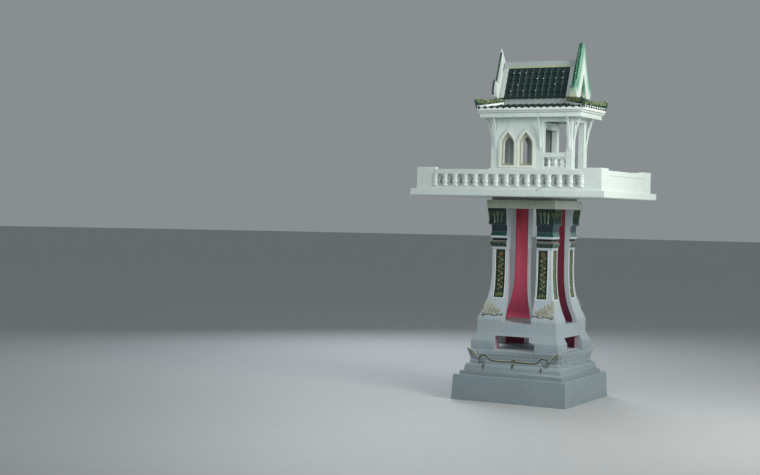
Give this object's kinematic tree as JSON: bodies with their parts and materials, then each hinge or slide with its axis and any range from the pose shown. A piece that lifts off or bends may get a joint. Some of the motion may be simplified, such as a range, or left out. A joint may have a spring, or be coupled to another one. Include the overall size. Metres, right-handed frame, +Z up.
{
  "type": "spirit house",
  "caption": "Cast concrete spirit house: stepped square pedestal on angle legs, walled terrace, small house with pointed windows, pillared porch and steep tiled roofs.",
  "frame": {"origin": "centre of the plinth's underside, on the ground", "axes": "+Z up, +X towards the entrance end of the house, -Y the house's right-hand side"},
  "size_m": [1.266, 1.004, 2.238],
  "materials": {
    "white_paint": "painted cast concrete, matt",
    "grey_slab": "bare trowelled concrete, matt",
    "green_gold": "dark green gloss paint with gold lines on cast relief",
    "roof_green": "dark green gloss paint on cast tiles"
  },
  "bodies": {
    "root": {"plinth": "white_paint", "base_steps": "white_paint", "lion_foot_course": "white_paint", "foot_front_right": "white_paint", "foot_front_left": "white_paint", "foot_back_right": "white_paint", "foot_back_left": "white_paint", "pedestal_deck": "white_paint", "leg_front_right": "white_paint", "leg_front_left": "white_paint", "leg_back_right": "white_paint", "leg_back_left": "white_paint", "capital_front_right": "green_gold", "capital_front_left": "green_gold", "capital_back_right": "green_gold", "capital_back_left": "green_gold", "leg_panels": "green_gold", "top_slab": "grey_slab", "bearing_pad": "grey_slab", "terrace_floor": "white_paint", "parapet_front": "white_paint", "parapet_back": "white_paint", "parapet_right": "white_paint", "parapet_left": "white_paint", "corner_blocks": "white_paint", "house_base": "white_paint", "wall_right": "white_paint", "wall_left": "white_paint", "wall_back": "white_paint", "wall_door": "white_paint", "window_frames": "white_paint", "porch_posts": "white_paint", "porch_balustrades": "white_paint", "wall_beam": "white_paint", "eave_brackets": "white_paint", "cornice": "white_paint", "skirt_roof": "roof_green", "hip_ridges": "green_gold", "roof_neck": "white_paint", "roof_slope_right": "roof_green", "roof_slope_left": "roof_green", "ridge_cap": "white_paint", "gable_panels": "white_paint", "bargeboard_front": "green_gold", "bargeboard_back": "white_paint"}
  },
  "joints": []
}
